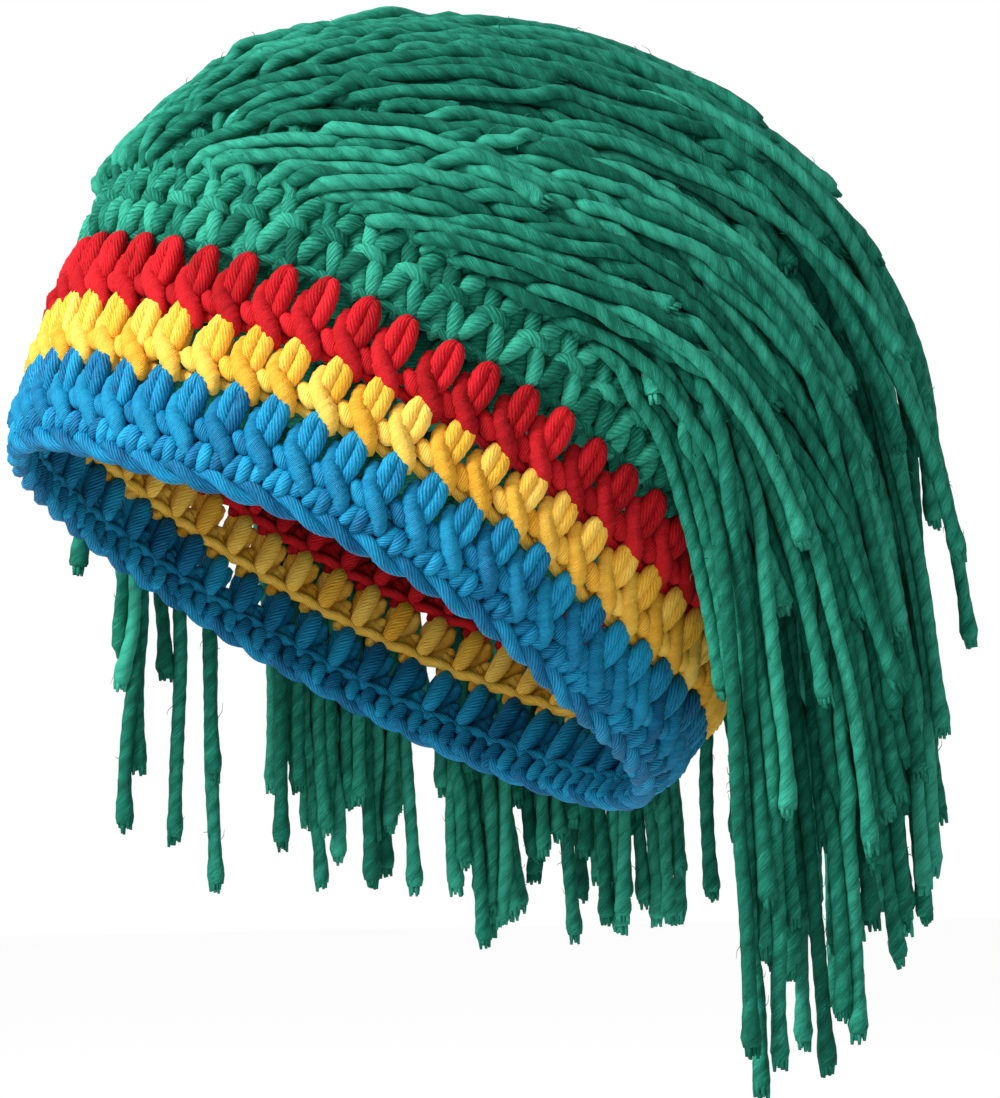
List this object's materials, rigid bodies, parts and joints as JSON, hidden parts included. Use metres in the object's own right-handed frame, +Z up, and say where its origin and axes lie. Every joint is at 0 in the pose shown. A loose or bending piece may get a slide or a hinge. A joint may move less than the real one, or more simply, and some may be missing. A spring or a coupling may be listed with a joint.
{
  "type": "rasta tam",
  "caption": "Crocheted tam with striped open-worked bands, a domed crown and a long hanging mane of yarn strands.",
  "frame": {"origin": "middle of the rim opening, where the hat sits on the head", "axes": "+Z up along gravity, -Y the way the wearer faces, +X to the wearer's left; the hat itself leans back 29.3 degrees about X, brow up and nape down"},
  "size_m": [0.2074, 0.2684, 0.3197],
  "materials": {
    "blue_yarn": "smooth plied crochet yarn with a soft sheen",
    "yellow_yarn": "fuzzy plied crochet yarn",
    "red_yarn": "fuzzy plied crochet yarn",
    "crown_yarn": "thick fuzzy crochet yarn",
    "mane_yarn": "loose thick plied yarn with frayed ends"
  },
  "bodies": {
    "root": {"blue_band": "blue_yarn", "yellow_band": "yellow_yarn", "red_band": "red_yarn", "crown": "crown_yarn", "yarn_mane": "mane_yarn"}
  },
  "joints": []
}
